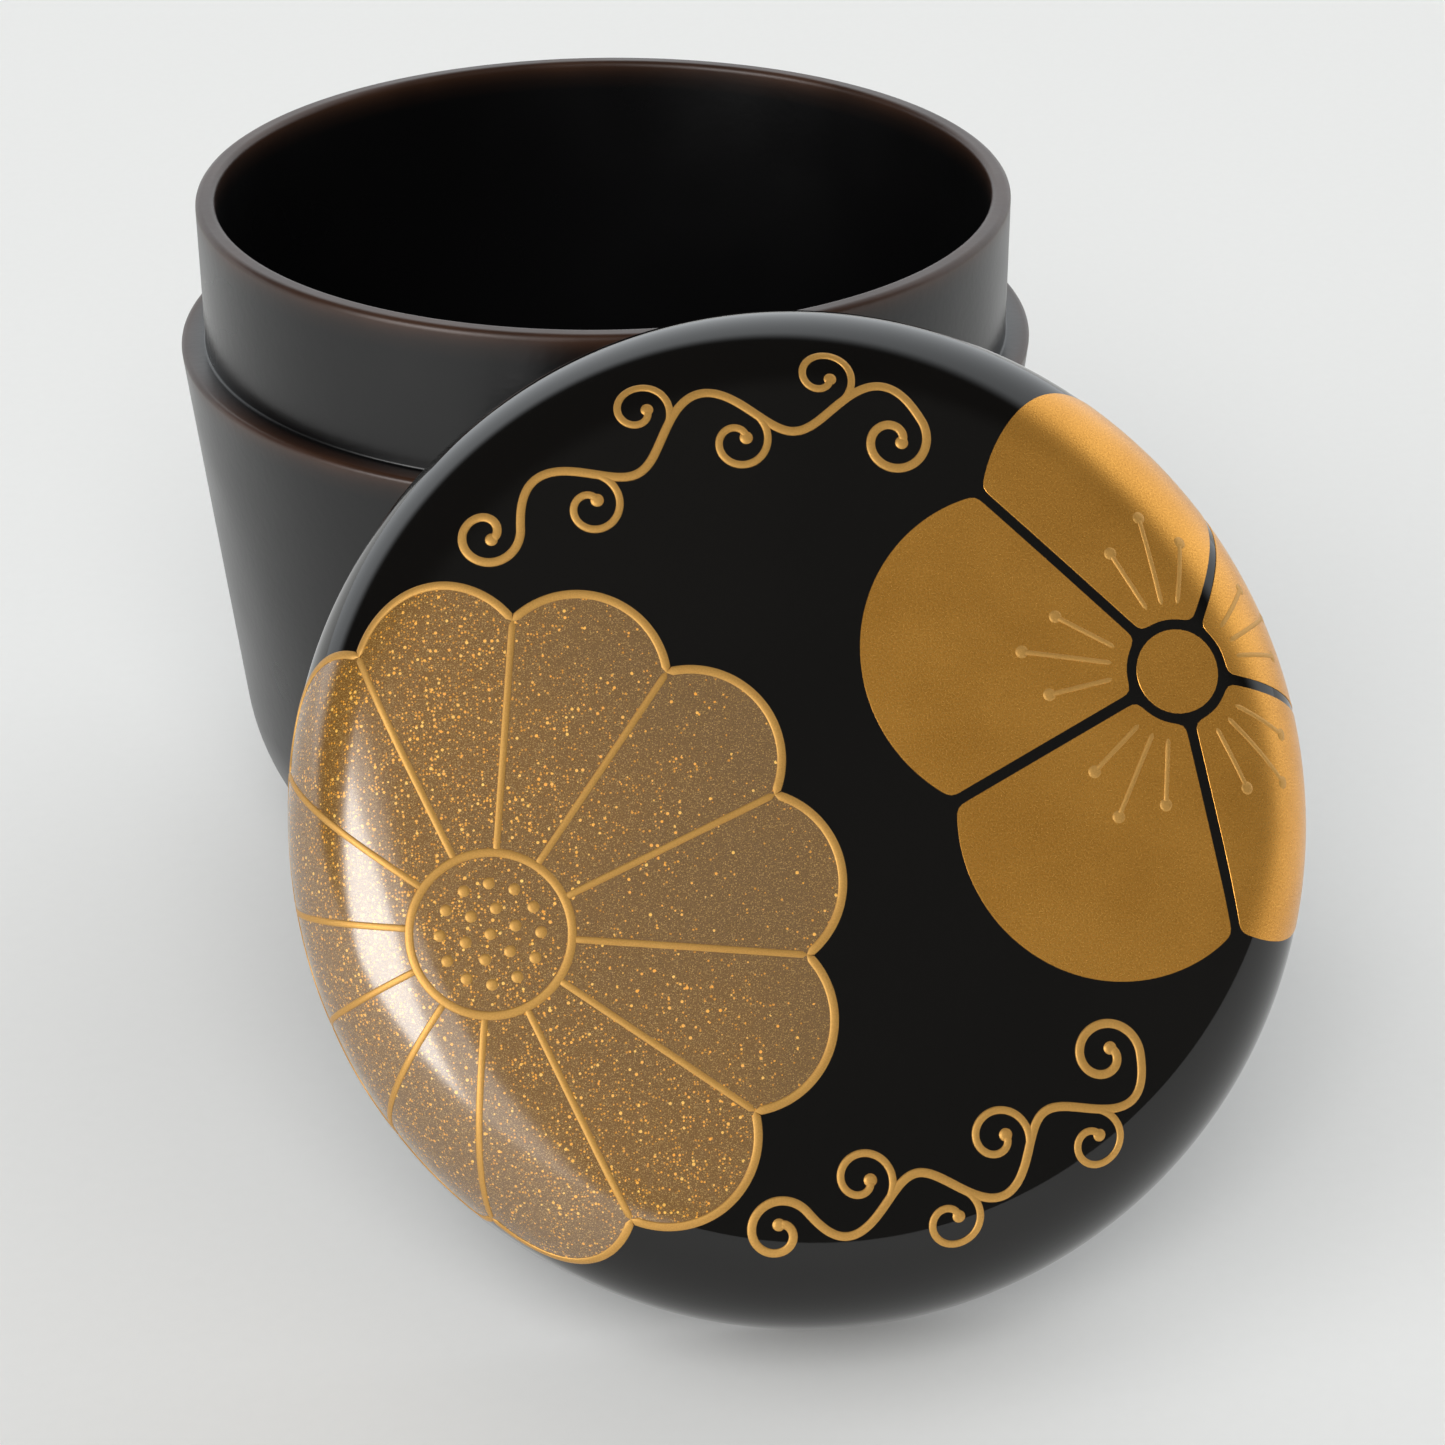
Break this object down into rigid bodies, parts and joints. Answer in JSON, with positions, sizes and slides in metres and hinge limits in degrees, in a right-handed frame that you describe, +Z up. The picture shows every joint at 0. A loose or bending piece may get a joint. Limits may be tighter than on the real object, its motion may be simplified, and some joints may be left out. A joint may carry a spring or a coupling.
{
  "type": "natsume tea caddy",
  "caption": "Round lacquered tea caddy, open: a tapering jar with a fitted collar, and its domed lid leaning against the collar.",
  "frame": {"origin": "centre of the jar's foot ring, on the surface that the caddy stands on", "axes": "+Z up along the jar's axis; the lid leans against the jar on its -Y side"},
  "size_m": [0.0723, 0.1158, 0.0617],
  "materials": {
    "jar_lacquer": "black lacquer, polished to a soft gloss",
    "lid_lacquer": "black lacquer, polished to a mirror, with sprinkled gold"
  },
  "bodies": {
    "jar": {"jar": "jar_lacquer"},
    "lid": {"lid": "lid_lacquer"}
  },
  "joints": [
    {"name": "lid_lift", "type": "slide", "parent": "jar", "child": "lid", "axis": [0, 0, 1], "range_m": [0, 0.06]}
  ]
}
